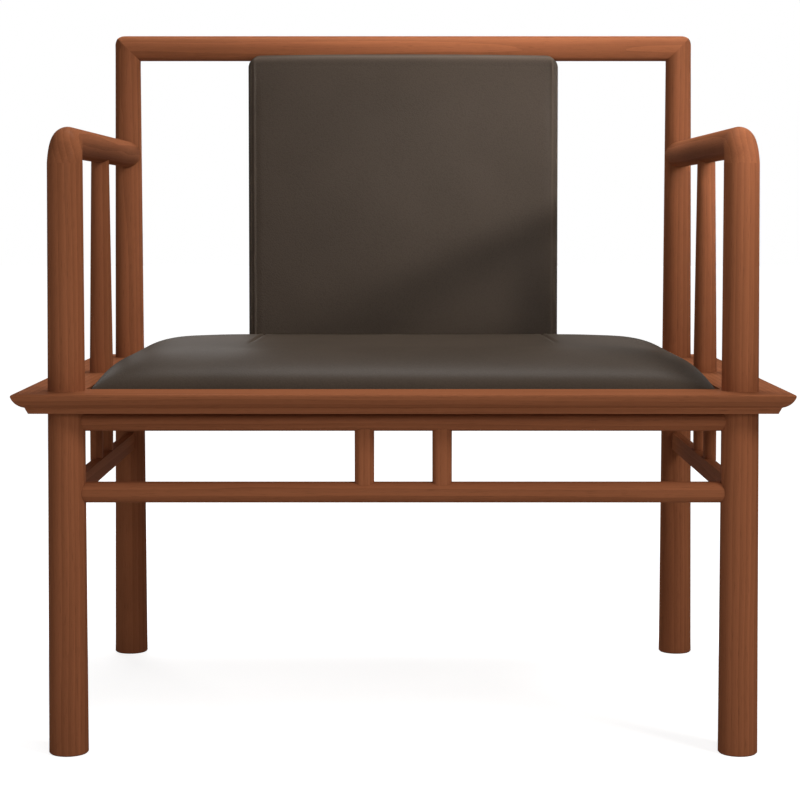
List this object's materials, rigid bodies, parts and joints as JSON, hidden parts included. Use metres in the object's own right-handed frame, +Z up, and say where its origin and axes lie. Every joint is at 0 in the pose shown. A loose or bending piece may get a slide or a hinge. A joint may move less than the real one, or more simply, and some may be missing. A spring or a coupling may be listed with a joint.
{
  "type": "lounge chair",
  "caption": "Wide wooden lounge chair with round tapered legs, mitred moulded seat frame, round arms and crest rail, a padded leather back and a loose leather seat cushion.",
  "frame": {"origin": "on the floor, under the middle of the four legs", "axes": "+X to the sitter's left as the chair is seen from the front, so right in the picture; the front is towards -Y; +Z up"},
  "size_m": [0.856, 0.636, 0.8446],
  "materials": {
    "timber": "reddish brown hardwood, satin oil and wax",
    "inner_timber": "the same hardwood, left matt where it is hidden",
    "leather": "espresso brown, fine grain, semi-matt",
    "foam": "cut upholstery foam"
  },
  "bodies": {
    "chair_frame": {"apron_back": "timber", "apron_front": "timber", "apron_left": "timber", "apron_right": "timber", "arm_post_left": "timber", "arm_post_right": "timber", "arm_rail_left": "timber", "arm_rail_right": "timber", "back_board": "inner_timber", "back_leg_left": "timber", "back_leg_right": "timber", "back_pad_cover": "leather", "back_pad_foam": "foam", "back_rear_cover": "leather", "crest_rail": "timber", "front_leg_left": "timber", "front_leg_right": "timber", "seat_batten_left": "inner_timber", "seat_batten_right": "inner_timber", "seat_panel": "inner_timber", "seat_rail_back": "timber", "seat_rail_front": "timber", "seat_rail_left": "timber", "seat_rail_right": "timber", "stretcher_front": "timber", "stretcher_left": "timber", "stretcher_right": "timber", "strut_front_left": "timber", "strut_front_right": "timber", "strut_left_back": "timber", "strut_left_front": "timber", "strut_right_back": "timber", "strut_right_front": "timber"},
    "seat_cushion": {"seat_cushion_cover": "leather", "seat_cushion_foam": "foam"}
  },
  "joints": [
    {"name": "seat_cushion_lift", "type": "slide", "parent": "chair_frame", "child": "seat_cushion", "axis": [0, 0, 1], "range_m": [0, 0.32]}
  ]
}
